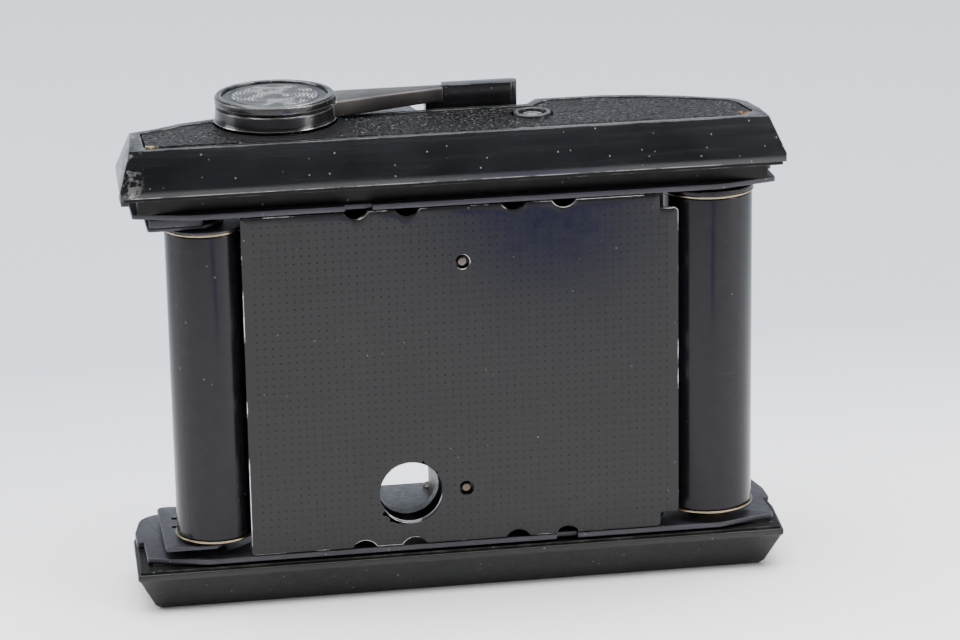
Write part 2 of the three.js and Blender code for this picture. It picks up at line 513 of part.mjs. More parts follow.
// ---- screws that hold the covers to the plates ---------------------------------------
const SCREWS = [[-43, 28.5], [56, 21.5], [-2, 32], [44, 28.5]];
SCREWS.forEach(([x, y], k) => {
  const head = LOW_PLATE + TOUCH;
  add(`frame_screw_${k + 1}`, rod(x, y, 1.9, head, head + 0.8, 16), steel);
});

export default insert;
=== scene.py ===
"""Looks of a roll-film insert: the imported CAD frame, detailed pieces and their finishes.

Pieces are laid out in millimetres in the insert's own frame: x runs along the film, y runs
back from the film plane and z = 0 is the underside. row() turns that into the row frame.
"""

import json
import math

import bmesh
import bpy
from mathutils import Matrix, Vector, geometry, noise


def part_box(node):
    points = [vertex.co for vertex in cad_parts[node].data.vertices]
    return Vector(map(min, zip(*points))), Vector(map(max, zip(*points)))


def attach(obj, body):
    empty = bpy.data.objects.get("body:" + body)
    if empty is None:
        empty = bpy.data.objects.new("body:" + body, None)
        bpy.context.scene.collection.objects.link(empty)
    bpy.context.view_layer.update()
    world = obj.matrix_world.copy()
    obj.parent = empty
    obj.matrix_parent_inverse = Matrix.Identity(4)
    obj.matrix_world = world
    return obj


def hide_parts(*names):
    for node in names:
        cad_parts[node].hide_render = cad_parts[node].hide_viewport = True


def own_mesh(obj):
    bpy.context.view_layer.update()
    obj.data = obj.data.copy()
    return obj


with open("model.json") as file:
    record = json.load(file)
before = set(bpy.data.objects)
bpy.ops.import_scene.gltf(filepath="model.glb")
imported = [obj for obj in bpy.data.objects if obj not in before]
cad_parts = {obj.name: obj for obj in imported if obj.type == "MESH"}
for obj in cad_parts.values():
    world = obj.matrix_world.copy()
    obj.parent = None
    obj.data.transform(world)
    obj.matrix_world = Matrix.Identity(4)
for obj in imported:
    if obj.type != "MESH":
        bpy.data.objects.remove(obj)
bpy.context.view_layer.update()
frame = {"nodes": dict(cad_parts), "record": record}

MM = 0.001
FILM_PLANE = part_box("pressure_plate")[0].y / MM
HUB = (-32.6, 20.2)  # the take-up spool's centre
SUPPLY = (31.4, 20.2)
GUIDE_ROLLER = (-48.3, 7.5, 7.5)  # centre and radius
MEASURING_ROLLER = (49.7, 8.8, 8.8)
WINDOW = (16.5, 14.4)
TOP_FACE = 91.8
LOW_PLATE = 10.3
HIGH_PLATE = 78.3
SIGHT_HOLE = (-10.7, 21.1, 6.15)
GUIDE_PINS = ((0.15, 21.3), (0.15, 67.0))


def row(x, y, z):
    """A place in the insert's own frame, in millimetres, as a point of the row frame."""
    return Vector((x, y + FILM_PLANE, z)) * MM


# ---- outlines -----------------------------------------------------------------------
def outline(corners, step=0.2):
    """Closed outline through corners (x, y) or (x, y, radius); arcs turn step radians a side."""
    points = []
    for i, corner in enumerate(corners):
        here = Vector(corner[:2])
        radius = corner[2] if len(corner) > 2 else 0
        if not radius:
            points.append(here)
            continue
        a = (Vector(corners[i - 1][:2]) - here).normalized()
        b = (Vector(corners[(i + 1) % len(corners)][:2]) - here).normalized()
        half = math.acos(max(-1, min(1, a.dot(b)))) / 2
        centre = here + (a + b).normalized() * (radius / math.sin(half))
        start = here + a * (radius / math.tan(half)) - centre
        turn = (math.pi - 2 * half) * (1 if b.x * a.y - b.y * a.x > 0 else -1)
        sides = max(2, math.ceil(abs(turn) / step))
        for k in range(sides + 1):
            angle = turn * k / sides
            c, s = math.cos(angle), math.sin(angle)
            points.append(centre + Vector((c * start.x - s * start.y, s * start.x + c * start.y)))
    return points


def circle(x, y, r, sides=48):
    angles = [2 * math.pi * k / sides for k in range(sides)]
    return [Vector((x + r * math.cos(a), y + r * math.sin(a))) for a in angles]


def inset(points, distance):
    """The outline moved inwards by a distance, each corner along its own bisector."""
    moved = []
    for i, p in enumerate(points):
        a = (p - points[i - 1]).normalized()
        b = (points[(i + 1) % len(points)] - p).normalized()
        normal = Vector((-(a.y + b.y), a.x + b.x)).normalized()
        stretch = max(0.5, math.sqrt(max(0, (1 + a.dot(b)) / 2)))
        moved.append(p + normal * (distance / stretch))
    return moved


def inside(point, loop):
    """Whether a point lies within a closed outline."""
    within = False
    for i, p in enumerate(loop):
        q = loop[i - 1]
        if (p.y > point.y) != (q.y > point.y):
            if point.x < (q.x - p.x) * (point.y - p.y) / (q.y - p.y) + p.x:
                within = not within
    return within


# ---- meshes -------------------------------------------------------------------------
WELD = 2e-7
ON_AXIS = 1e-6
SHARP = math.radians(40)
ROUNDED = math.radians(32)
PIT_SIDES = 8
PIT_CELL = 0.5  # grid step, in millimetres, for finding the pits near a face
BODIES = frame["record"]["behaviour"]["bodies"]
BODY_OF = {node: body for body, nodes in BODIES.items() for node in nodes}
SLOT_OF = {part["node"]: part["material_slot"] for part in frame["record"]["subparts"]}
FINISHES = {}


def piece(name, mesh, *nodes, material=None, edge_material=None):
    """Puts a finished mesh in the scene, riding on its first node's body.

    edge_material is for the rounded edges of a plate, where they differ from its faces.
    """
    bm = bmesh.new()
    bm.from_mesh(mesh)
    bmesh.ops.remove_doubles(bm, verts=bm.verts, dist=WELD)
    bmesh.ops.recalc_face_normals(bm, faces=bm.faces)
    for face in bm.faces:
        face.smooth = True
    bm.to_mesh(mesh)
    bm.free()
    mesh.set_sharp_from_angle(angle=SHARP)
    mesh.name = name
    marked = [face.index for face in mesh.polygons if face.material_index == 1]
    mesh.materials.clear()  # this also clears the faces' own choice, so it is made again below
    mesh.materials.append(material or FINISHES[SLOT_OF[nodes[0]]])
    if edge_material:
        mesh.materials.append(edge_material)
        for index in marked:
            mesh.polygons[index].material_index = 1
    obj = bpy.data.objects.new(name, mesh)
    bpy.context.scene.collection.objects.link(obj)
    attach(obj, BODY_OF[nodes[0]])
    return obj


def stand_in(name, mesh, *nodes, **options):
    """A piece that is shown instead of its CAD nodes."""
    obj = piece(name, mesh, *nodes, **options)
    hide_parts(*nodes)
    return obj


def mesh_from(points, faces, name="shape"):
    mesh = bpy.data.meshes.new(name)
    mesh.from_pydata([tuple(p) for p in points], [], faces)
    return mesh


def joined(*meshes):
    """Several meshes as one; the pieces of it may overlap."""
    bm = bmesh.new()
    for mesh in meshes:
        bm.from_mesh(mesh)
    whole = bpy.data.meshes.new("joined")
    bm.to_mesh(whole)
    bm.free()
    return whole


def lathe(profile, x=0, y=0, segments=96, along=None):
    """Skin turned about a vertical axis at x, y; the profile is a closed (radius, z) outline.

    along turns it about another line instead: a function of (a, b, height) giving a place.
    """
    along = along or (lambda a, b, height: row(x + a, y + b, height))
    points, index = [], {}
    for i, (r, z) in enumerate(profile):
        for k in range(segments if r > ON_AXIS else 1):
            angle = 2 * math.pi * k / segments
            index[i, k] = len(points)
            points.append(along(r * math.cos(angle), r * math.sin(angle), z))
        if r <= ON_AXIS:
            for k in range(1, segments):
                index[i, k] = index[i, 0]
    faces = []
    for i in range(len(profile)):
        j = (i + 1) % len(profile)
        if profile[i][0] <= ON_AXIS and profile[j][0] <= ON_AXIS:
            continue
        for k in range(segments):
            m = (k + 1) % segments
            corners = [index[i, k], index[i, m], index[j, m], index[j, k]]
            faces.append(list(dict.fromkeys(corners)))
    return mesh_from(points, faces)


def turned(x, y, corners, segments):
    """A turned piece whose (radius, z, fillet) corners are rounded."""
    return lathe([tuple(p) for p in outline(corners, 0.3)], x, y, segments)


def rod(x, y, r, z0, z1):
    return lathe([(0, z0), (r, z0), (r, z1), (0, z1)], x, y)


def about_depth(x, z):
    """For lathe: turns a (radius, y) profile about a line that runs front to back at x, z."""
    return lambda a, b, depth: row(x + a, depth, z + b)


def plate(outer, w0, w1, place, holes=(), edge=0.12, pits=(), pit=(0.2, 0.15), extra=(), lift=None):
    """Flat piece with rounded edges between w0 and its face w1.

    holes are (x, y, r); pits are centres of small hollows of radius and depth pit in the face;
    extra are loose points for a finer face, and lift raises a point of the face.
    """
    loops = [(outer, 1)] + [(circle(*hole), -1) for hole in holes]
    points, faces = [], []
    quarter = [math.pi / 2 * k / 3 for k in range(4)]
    arcs = [(edge * (1 - math.sin(a)), edge * (1 - math.cos(a))) for a in quarter]
    # (inset from the outline, height) from the rim of one face round to the rim of the other
    section = [(i, w0 + d) for i, d in arcs] + [(i, w1 - d) for i, d in reversed(arcs)]

    def corner(u, v, w):
        if lift and w > (w0 + w1) / 2:
            w += lift(u, v)
        points.append(place(u, v, w))
        return len(points) - 1

    for loop, way in loops:
        rings = [[corner(p.x, p.y, w) for p in inset(loop, way * back)] for back, w in section]
        for below, above in zip(rings, rings[1:]):
            for k in range(len(loop)):
                m = (k + 1) % len(loop)
                faces.append((below[k], below[m], above[m], above[k]))
    edge_faces = len(faces)
    for w, hollows in ((w0, ()), (w1, pits)):
        verts, edges = [], []
        for loop, way in loops:
            first = len(verts)
            verts += inset(loop, way * edge)
            edges += [(first + k, first + (k + 1) % len(loop)) for k in range(len(loop))]
        for u, v in hollows:
            first = len(verts)
            verts += circle(u, v, pit[0], PIT_SIDES)
            edges += [(first + k, first + (k + 1) % PIT_SIDES) for k in range(PIT_SIDES)]
        if w == w1:
            verts += [Vector(p) for p in extra]
        out, _, tris, *_ = geometry.delaunay_2d_cdt(verts, edges, [], 1, 1e-6)
        base = len(points)
        for p in out:
            corner(p.x, p.y, w)
        grid = {(round(u / PIT_CELL), round(v / PIT_CELL)): (u, v) for u, v in hollows}
        for tri in tris:
            mid = sum((out[k] for k in tri), Vector((0, 0))) / 3
            if any((mid.x - x) ** 2 + (mid.y - y) ** 2 < (r + edge * 0.5) ** 2
                   for x, y, r in holes):
                continue
            i, j = round(mid.x / PIT_CELL), round(mid.y / PIT_CELL)
            near = [grid[i + a, j + b] for a in (-1, 0, 1) for b in (-1, 0, 1)
                    if (i + a, j + b) in grid]
            if any((mid.x - u) ** 2 + (mid.y - v) ** 2 < (pit[0] * 0.95) ** 2 for u, v in near):
                continue
            faces.append(tuple(base + k for k in tri))
        for u, v in hollows:
            bottom = circle(u, v, pit[0] * 0.6, PIT_SIDES)
            rim = [corner(p.x, p.y, w) for p in circle(u, v, pit[0], PIT_SIDES)]
            low = [corner(p.x, p.y, w - pit[1] * 0.8) for p in bottom]
            middle = corner(u, v, w - pit[1])
            for k in range(PIT_SIDES):
                m = (k + 1) % PIT_SIDES
                faces += [(rim[k], rim[m], low[m], low[k]), (low[k], low[m], middle)]
    mesh = mesh_from(points, faces)
    for face in mesh.polygons[:edge_faces]:
        face.material_index = 1
    return mesh


def upright(x, z, forward):
    """Place for a plate that stands up with its face towards the film."""
    return row(x, -forward, z)


def slab(plan, z0, z1):
    """Upright prism over a plan."""
    count = len(plan)
    points = [row(x, y, z) for z in (z0, z1) for x, y in plan]
    faces = [(k, (k + 1) % count, count + (k + 1) % count, count + k) for k in range(count)]
    faces += [tuple(reversed(range(count))), tuple(range(count, 2 * count))]
    return mesh_from(points, faces)


def solid_object(mesh):
    """A loose object with outward normals, for the boolean work."""
    bm = bmesh.new()
    bm.from_mesh(mesh)
    bmesh.ops.remove_doubles(bm, verts=bm.verts, dist=WELD)
    bmesh.ops.recalc_face_normals(bm, faces=bm.faces)
    bm.to_mesh(mesh)
    bm.free()
    obj = bpy.data.objects.new("tool", mesh)
    bpy.context.scene.collection.objects.link(obj)
    return obj


def carved(mesh, steps, width):
    """mesh with each (operation, tool mesh) applied, and its sharp edges rounded by width."""
    body = solid_object(mesh)
    tools = []
    for operation, tool in steps:
        cutter = solid_object(tool)
        cutter.hide_render = True
        tools.append(cutter)
        change = body.modifiers.new("carve", "BOOLEAN")
        change.operation, change.object, change.solver = operation, cutter, "EXACT"
    if width:
        soften = body.modifiers.new("round", "BEVEL")
        soften.width, soften.segments = width * MM, 3
        soften.limit_method, soften.angle_limit = "ANGLE", ROUNDED
        soften.miter_outer = "MITER_ARC"
        soften.use_clamp_overlap = True
    bpy.context.view_layer.update()
    shaped = body.evaluated_get(bpy.context.evaluated_depsgraph_get())
    result = bpy.data.meshes.new_from_object(shaped)
    for obj in [body] + tools:
        bpy.data.objects.remove(obj)
    return result


def refined(node, width):
    """The CAD node's shape with flat faces merged and its edges rounded."""
    mesh = frame["nodes"][node].data.copy()
    bm = bmesh.new()
    bm.from_mesh(mesh)
    bmesh.ops.remove_doubles(bm, verts=bm.verts, dist=1e-6)
    bmesh.ops.dissolve_limit(bm, angle_limit=math.radians(1.5), verts=bm.verts, edges=bm.edges)
    bm.to_mesh(mesh)
    bm.free()
    return carved(mesh, [], width)


def box(low, high, width=0.15):
    (x0, y0, z0), (x1, y1, z1) = low, high
    return carved(slab([(x0, y0), (x1, y0), (x1, y1), (x0, y1)], z0, z1), [], width)


# ---- finishes -----------------------------------------------------------------------
class Finish:
    """A material and short calls for the nodes that make it up."""

    def __init__(self, slot, roughness=0.5, metallic=0.0, specular=0.5):
        self.material = bpy.data.materials.new(slot)
        self.material.use_nodes = True
        self.tree = self.material.node_tree
        self.shader = self.tree.nodes["Principled BSDF"]
        self.shader.inputs["Roughness"].default_value = roughness
        self.shader.inputs["Metallic"].default_value = metallic
        self.shader.inputs["Specular IOR Level"].default_value = specular
        self.place = self.make("ShaderNodeTexCoord").outputs["Object"]
        FINISHES[slot] = self.material

    def make(self, kind, settings=None, sockets=None):
        node = self.tree.nodes.new(kind)
        for key, value in (settings or {}).items():
            setattr(node, key, value)
        for key, value in (sockets or {}).items():
            self.feed(node.inputs[key], value)
        return node

    def feed(self, socket, value):
        if isinstance(value, bpy.types.NodeSocket):
            self.tree.links.new(value, socket)
        else:
            socket.default_value = value

    def set(self, **sockets):
        for key, value in sockets.items():
            self.feed(self.shader.inputs[key.replace("_", " ")], value)
        return self

    def stretched(self, x=1, y=1, z=1):
        """The piece's own coordinates, in metres, stretched along its axes."""
        return self.make("ShaderNodeMapping", None, {
            "Vector": self.place, "Scale": (x, y, z)}).outputs[0]

    def noise(self, scale, detail=3, place=None, roughness=0.55):
        return self.make("ShaderNodeTexNoise", None, {
            "Vector": place or self.place, "Scale": scale, "Detail": detail, "Roughness": roughness,
        }).outputs["Fac"]

    def cells(self, scale, output="Distance"):
        return self.make("ShaderNodeTexVoronoi", None, {
            "Vector": self.place, "Scale": scale}).outputs[output]

    def span(self, value, low, high, to_low=0.0, to_high=1.0):
        return self.make("ShaderNodeMapRange", None, {
            "Value": value, "From Min": low, "From Max": high, "To Min": to_low, "To Max": to_high,
        }).outputs[0]

    def calc(self, operation, a, b=0.0):
        return self.make("ShaderNodeMath", {"operation": operation}, {0: a, 1: b}).outputs[0]

    def blend(self, amount, a, b):
        """Colour a where amount is 0, b where it is 1."""
        a, b = [v if isinstance(v, bpy.types.NodeSocket) else (*v, 1) for v in (a, b)]
        node = self.make("ShaderNodeMix", {"data_type": "RGBA"}, {0: amount, 6: a, 7: b})
        return node.outputs[2]

    def blend_value(self, amount, a, b):
        """Value a where amount is 0, b where it is 1."""
        node = self.make("ShaderNodeMix", {"data_type": "FLOAT"}, {0: amount, 2: a, 3: b})
        return node.outputs[0]

    def distance(self, x, y, z):
        """How far a point is from a place in the insert's own frame, in metres."""
        return self.make("ShaderNodeVectorMath", {"operation": "DISTANCE"}, {
            0: self.place, 1: row(x, y, z)}).outputs["Value"]

    def patches(self, scale, detail, dark, pale):
        """Soft patches of two colours."""
        return self.blend(self.span(self.noise(scale, detail), 0.35, 0.65), dark, pale)

    def drift(self, scale, low, high, detail=3):
        """A value that wanders from low to high."""
        return self.span(self.noise(scale, detail), 0.3, 0.7, low, high)

    def bump(self, height, distance, strength=1.0, under=None):
        sockets = {"Height": height, "Distance": distance * MM, "Strength": strength}
        if under is not None:
            sockets["Normal"] = under
        return self.make("ShaderNodeBump", None, sockets).outputs[0]

    def edges(self, radius, low=0.02, high=0.25):
        """How near a point is to a sharp edge, broken up so that wear looks uneven."""
        soft = self.make("ShaderNodeBevel", {"samples": 6}, {"Radius": radius * MM}).outputs[0]
        true = self.make("ShaderNodeNewGeometry").outputs["Normal"]
        dot = self.make("ShaderNodeVectorMath", {"operation": "DOT_PRODUCT"}, {0: soft, 1: true})
        return self.span(self.calc("SUBTRACT", 1.0, dot.outputs["Value"]), low, high)

    def specks(self, scale, size, share):
        """Sparse dust: small dots in a share of the cells."""
        dot = self.span(self.cells(scale), size, size * 0.4)
        chance = self.make("ShaderNodeSeparateColor", None, {"Color": self.cells(scale, "Color")})
        kept = self.calc("LESS_THAN", chance.outputs[0], share)
        return self.calc("MULTIPLY", dot, kept)

    def worn(self, radius, bend, scale, detail, patch):
        """Edges rubbed bare over a radius; bend is where wear starts and is full, by how far
        the skin turns, and patch is where in the noise it starts and is full."""
        return self.calc("MULTIPLY", self.edges(radius, *bend),
                         self.span(self.noise(scale, detail), *patch))

    def dusted(self, colour, specks, amount, dust):
        """colour with (scale, size, share) specks of dust on it."""
        return self.blend(self.calc("MULTIPLY", self.specks(*specks), amount), colour, dust)


def gloss_paint():
    """Stoved gloss black, rubbed through to metal along the edges, with pale metallic patches at
    the left end.
    """
    f = Finish("cover_gloss")
    tone = f.patches(60, 4, (0.006, 0.007, 0.0075), (0.011, 0.012, 0.0135))
    worn = f.worn(0.45, (0.02, 0.12), 240, 5, (0.42, 0.56))
    chips = f.worn(1.2, (0.05, 0.3), 90, 4, (0.6, 0.66))
    along = f.make("ShaderNodeSeparateXYZ", None, {"Vector": f.place}).outputs[0]
    end = f.span(along, -0.0595, -0.0635)
    # Pale metallic patches in noise over the left end.
    left_end_patches = f.calc("MULTIPLY", end, f.span(f.noise(420, 5, None, 0.7), 0.52, 0.58))
    bare = f.calc("MAXIMUM", f.calc("MAXIMUM", worn, chips), left_end_patches)
    colour = f.blend(bare, tone, (0.34, 0.33, 0.32))
    colour = f.dusted(colour, (800, 0.17, 0.22), 0.7, (0.30, 0.30, 0.29))
    haze = f.span(f.noise(900, 2, f.stretched(0.05, 1, 1)), 0.3, 0.7, 0.2, 0.3)
    wave = f.bump(f.noise(350, 2), 0.02, 0.25)
    return f.set(Base_Color=colour, Metallic=bare, Normal=wave,
                 Roughness=f.blend_value(bare, haze, 0.35))


def satin_paint(name="cover_satin", depth=0.72):
    """Satin black; depth scales how pale its colour and its sheen are."""
    f = Finish(name, specular=0.5 * depth)
    dark = [depth * v for v in (0.0085, 0.0092, 0.0083)]
    pale = [depth * v for v in (0.0135, 0.0143, 0.0127)]
    tone = f.patches(45, 4, dark, pale)
    worn = f.worn(0.4, (0.03, 0.22), 260, 5, (0.48, 0.62))
    colour = f.blend(f.calc("MULTIPLY", worn, 0.8), tone, (0.28, 0.27, 0.25))
    colour = f.dusted(colour, (800, 0.16, 0.15), 0.6, (0.26, 0.26, 0.25))
    grain = f.bump(f.noise(1500, 2), 0.012, 0.35)
    return f.set(Base_Color=colour, Metallic=f.calc("MULTIPLY", worn, 0.7), Normal=grain,
                 Roughness=f.drift(700, 0.36, 0.5))


def anodised():
    """Violet black sheet with bright edges."""
    f = Finish("anodised")
    tone = f.patches(50, 3, (0.016, 0.016, 0.021), (0.027, 0.026, 0.034))
    rubbed = f.span(f.noise(150, 5), 0.36, 0.62, 0.15, 1.0)
    worn = f.calc("MULTIPLY", f.edges(0.22, 0.02, 0.15), rubbed)
    colour = f.blend(worn, tone, (0.33, 0.32, 0.36))
    colour = f.dusted(colour, (900, 0.16, 0.15), 0.6, (0.3, 0.3, 0.29))
    return f.set(Base_Color=colour, Metallic=f.span(worn, 0, 1, 0.3, 0.9),
                 Roughness=f.drift(900, 0.34, 0.48))


def roller_finish():
    """Turned and anodised: fine rings round the roller, faintly mottled."""
    f = Finish("roller_anodised", metallic=0.05, specular=0.2)
    rings = f.noise(1, 3, f.stretched(150, 150, 5200))
    mottle = f.noise(420, 4)
    tone = f.blend(f.span(mottle, 0.3, 0.7), (0.0075, 0.0070, 0.0092), (0.0105, 0.0098, 0.0128))
    streaks = f.span(f.noise(2, 4, f.stretched(60, 60, 420)), 0.64, 0.76)
    tone = f.blend(f.calc("MULTIPLY", streaks, 0.15), tone, (0.06, 0.058, 0.063))
    worn = f.worn(0.3, (0.02, 0.2), 200, 4, (0.4, 0.6))
    colour = f.blend(worn, tone, (0.4, 0.38, 0.36))
    colour = f.dusted(colour, (700, 0.13, 0.1), 0.5, (0.3, 0.3, 0.3))
    fine = f.bump(rings, 0.008, 0.3, f.bump(mottle, 0.01, 0.15))
    return f.set(Base_Color=colour, Normal=fine,
                 Roughness=f.span(rings, 0.3, 0.7, 0.17, 0.24))


def plate_finish(name="pressure_plate", bare=0.0):
    """Smooth dark grey; bare is how far its edges are rubbed to bright metal, which also paints the
    highlights along them.
    """
    f = Finish(name, specular=0.27)
    cloud = f.noise(35, 4)
    tone = f.blend(f.span(cloud, 0.3, 0.7), (0.0055, 0.0057, 0.006), (0.0078, 0.0078, 0.0082))
    rub = f.span(f.noise(6, 3, f.stretched(4, 1, 30)), 0.58, 0.75, 0, 0.4)
    tone = f.blend(rub, tone, (0.004, 0.004, 0.005))
    worn = f.span(f.noise(110, 5), 0.52, 0.60, 0, bare)
    colour = f.blend(worn, tone, (0.50, 0.49, 0.48))
    colour = f.dusted(colour, (700, 0.12, 0.06), 0.5, (0.3, 0.3, 0.29))
    grain = f.bump(f.noise(2200, 2), 0.004, 0.3)
    return f.set(Base_Color=colour, Metallic=f.span(worn, 0, 1, 0, 0.95), Normal=grain,
                 Roughness=f.drift(500, 0.15, 0.22))


def leather():
    """Fine pebbled grain with painted shade in its creases and painted highlights sparkling on its
    pebbles, dust, glue stains and a smooth ring by the lever.
    """
    f = Finish("leather", specular=0.1)
    pebble, speck = f.cells(1150), f.noise(1500, 3, None, 0.7)
    # Painted shade: the tone darkens from the pebble tops into the creases between them.
    tone = f.blend(f.span(pebble, 0.15, 0.55), (0.008, 0.008, 0.009), (0.003, 0.003, 0.0035))
    # Painted highlight: pale sparkle on the pebble tops, standing in for light caught by the grain.
    painted_glint = f.calc("MULTIPLY", f.span(speck, 0.56, 0.63), f.span(pebble, 0.5, 0.22))
    fluff = f.calc("MULTIPLY", f.span(f.noise(160, 6, None, 0.75), 0.62, 0.72), 0.25)
    # Painted sparkle highlights and pale dust fluff together.
    pale = f.calc("MULTIPLY", f.calc("MAXIMUM", painted_glint, fluff), 0.48)
    colour = f.blend(pale, tone, (0.34, 0.335, 0.32))
    rubbed = f.span(f.distance(HUB[0] + 1, HUB[1] - 6, TOP_FACE), 0.0135, 0.0115)
    blots = f.span(f.noise(650, 4, None, 0.65), 0.5, 0.56)
    stains = ((57, 5.2, 2.6, (0.22, 0.09, 0.02)), (-58.4, 4, 1.8, (0.30, 0.26, 0.10)))
    for x, y, size, glue in stains:
        near = f.span(f.distance(x, y, TOP_FACE), size * MM, size * MM * 0.6)
        colour = f.blend(f.calc("MULTIPLY", near, blots), colour, glue)
    colour = f.blend(rubbed, colour, (0.006, 0.006, 0.007))
    depth = f.span(rubbed, 0, 1, 1.0, 0.05)
    grain = f.bump(f.calc("MULTIPLY", pebble, -1.0), 0.5, depth, f.bump(speck, 0.12, 0.8))
    return f.set(Base_Color=colour, Normal=grain, Roughness=f.span(speck, 0.3, 0.7, 0.3, 0.5))


def metal(slot, dull, bright, low, high, wear=0.0):
    """A turned metal whose tone and roughness drift, with fine tool marks."""
    f = Finish(slot, metallic=1.0)
    colour = f.blend(f.drift(220, 0, 1, 4), dull, bright)
    marks = f.noise(1, 2, f.stretched(900, 900, 4500))
    if wear:
        colour = f.blend(f.calc("MULTIPLY", f.edges(0.25), wear), colour, (0.62, 0.6, 0.57))
    return f.set(Base_Color=colour, Normal=f.bump(marks, 0.006, 0.4),
                 Roughness=f.drift(600, low, high))


def worn_lever():
    """Blackened metal polished brown by the thumb."""
    f = Finish("lever_metal", metallic=0.55)
    rubbed = f.span(f.noise(70, 5), 0.38, 0.62)
    tone = f.blend(rubbed, (0.022, 0.021, 0.023), (0.072, 0.062, 0.058))
    worn = f.worn(0.4, (0.02, 0.2), 200, 5, (0.42, 0.6))
    colour = f.blend(worn, tone, (0.42, 0.40, 0.38))
    scratch = f.noise(1, 3, f.stretched(300, 300, 2600))
    colour = f.dusted(colour, (900, 0.16, 0.15), 0.6, (0.33, 0.33, 0.32))
    return f.set(Base_Color=colour, Normal=f.bump(scratch, 0.008, 0.4),
                 Roughness=f.drift(300, 0.28, 0.42, 4))


def hub_finish():
    """Glossy black with bright rims, rubbed to metal and painted brighter as the highlights their
    chamfers catch.
    """
    f = Finish("hub")
    tone = f.patches(90, 4, (0.010, 0.010, 0.011), (0.017, 0.017, 0.018))
    worn = f.worn(0.4, (0.01, 0.09), 130, 5, (0.38, 0.5))
    # The near-white rim colour is partly wear and partly a painted highlight.
    colour = f.blend(worn, tone, (0.75, 0.73, 0.71))
    colour = f.dusted(colour, (900, 0.16, 0.12), 0.6, (0.33, 0.33, 0.32))
    return f.set(Base_Color=colour, Metallic=f.span(worn, 0, 1, 0.25, 0.95),
                 Roughness=f.drift(500, 0.16, 0.26))


def engraved_disc():
    """Grey disc with bright engine-turned rings that ripple round it."""
    f = Finish("hub_disc", metallic=0.45)
    pitch, ripple, petals = 0.78 * MM, 0.22 * MM, 24.0
    middle = row(*HUB, 0)
    split = f.make("ShaderNodeSeparateXYZ", None, {"Vector": f.place})
    x = f.calc("ADD", split.outputs[0], -middle.x)
    y = f.calc("ADD", split.outputs[1], -middle.y)
    centre = f.make("ShaderNodeCombineXYZ", None, {0: x, 1: y}).outputs[0]
    length = f.make("ShaderNodeVectorMath", {"operation": "LENGTH"}, {0: centre})
    radius = length.outputs["Value"]
    turns = f.calc("MULTIPLY", f.calc("ARCTAN2", y, x), petals)
    petal = f.calc("MULTIPLY", f.calc("SINE", turns), ripple)
    waves = f.calc("MULTIPLY", f.calc("ADD", radius, petal), 2 * math.pi / pitch)
    cutline = f.span(f.calc("SINE", waves), 0.55, 0.95)
    patchy = f.span(f.noise(300, 4), 0.47, 0.54, 0.1, 1.0)
    ring = f.calc("MULTIPLY", f.span(radius, 0.0083, 0.0080), f.span(radius, 0.0012, 0.0015))
    bright = f.calc("MULTIPLY", f.calc("MULTIPLY", cutline, patchy), ring)
    colour = f.blend(bright, (0.030, 0.034, 0.040), (0.80, 0.80, 0.78))
    colour = f.dusted(colour, (1100, 0.2, 0.06), 0.8, (0.6, 0.6, 0.58))
    cut = f.bump(f.calc("MULTIPLY", cutline, ring), -0.03, 0.6)
    return f.set(Base_Color=colour, Normal=cut, Roughness=f.drift(500, 0.3, 0.42))


def gloss_plastic():
    f = Finish("finger_plastic")
    tone = f.patches(70, 4, (0.008, 0.008, 0.009), (0.014, 0.014, 0.015))
    worn = f.worn(0.35, (0.02, 0.2), 240, 4, (0.44, 0.6))
    colour = f.blend(f.calc("MULTIPLY", worn, 0.8), tone, (0.25, 0.24, 0.24))
    colour = f.dusted(colour, (900, 0.16, 0.15), 0.6, (0.3, 0.3, 0.3))
    return f.set(Base_Color=colour, Roughness=f.drift(400, 0.16, 0.28))


def window_ring():
    f = Finish("window_ring", metallic=0.4)
    tone = f.patches(300, 3, (0.03, 0.03, 0.033), (0.06, 0.06, 0.065))
    colour = f.blend(f.edges(0.2, 0.02, 0.15), tone, (0.45, 0.44, 0.43))
    return f.set(Base_Color=colour, Roughness=f.drift(500, 0.28, 0.4))


def clear_window():
    f = Finish("window_clear")
    f.set(Transmission_Weight=1.0, IOR=1.49)
    tint = f.blend(f.drift(200, 0, 1), (0.90, 0.93, 0.94), (0.95, 0.97, 0.97))
    smear = f.span(f.noise(900, 3), 0.4, 0.8, 0.03, 0.12)
    return f.set(Base_Color=tint, Roughness=smear)


def dial_finish():
    f = Finish("dial")
    tone = f.patches(150, 4, (0.55, 0.55, 0.52), (0.66, 0.66, 0.62))
    return f.set(Base_Color=tone, Roughness=f.drift(600, 0.48, 0.62))


for make in (gloss_paint, satin_paint, anodised, roller_finish, plate_finish, leather,
             worn_lever, hub_finish, engraved_disc, gloss_plastic, window_ring, clear_window,
             dial_finish):
    make()
# Copy for the pressure plate's rounded edges: patchy bare metal, partly wear and partly painted
# highlights along the edges.
plate_finish("pressure_plate_edge", 1.0)
# A darker copy of the satin with less sheen, for the necks.
satin_paint("neck_satin", 0.3)
metal("brass", (0.20, 0.16, 0.10), (0.34, 0.28, 0.19), 0.26, 0.4, wear=0.3)
metal("steel", (0.075, 0.060, 0.050), (0.15, 0.125, 0.108), 0.27, 0.42, wear=0.4)
metal("spring_steel", (0.30, 0.29, 0.28), (0.44, 0.43, 0.41), 0.22, 0.36)

for node, obj in frame["nodes"].items():
    if not obj.material_slots:
        obj.data.materials.append(None)
    for holder in obj.material_slots:
        holder.material = FINISHES[SLOT_OF[node]]


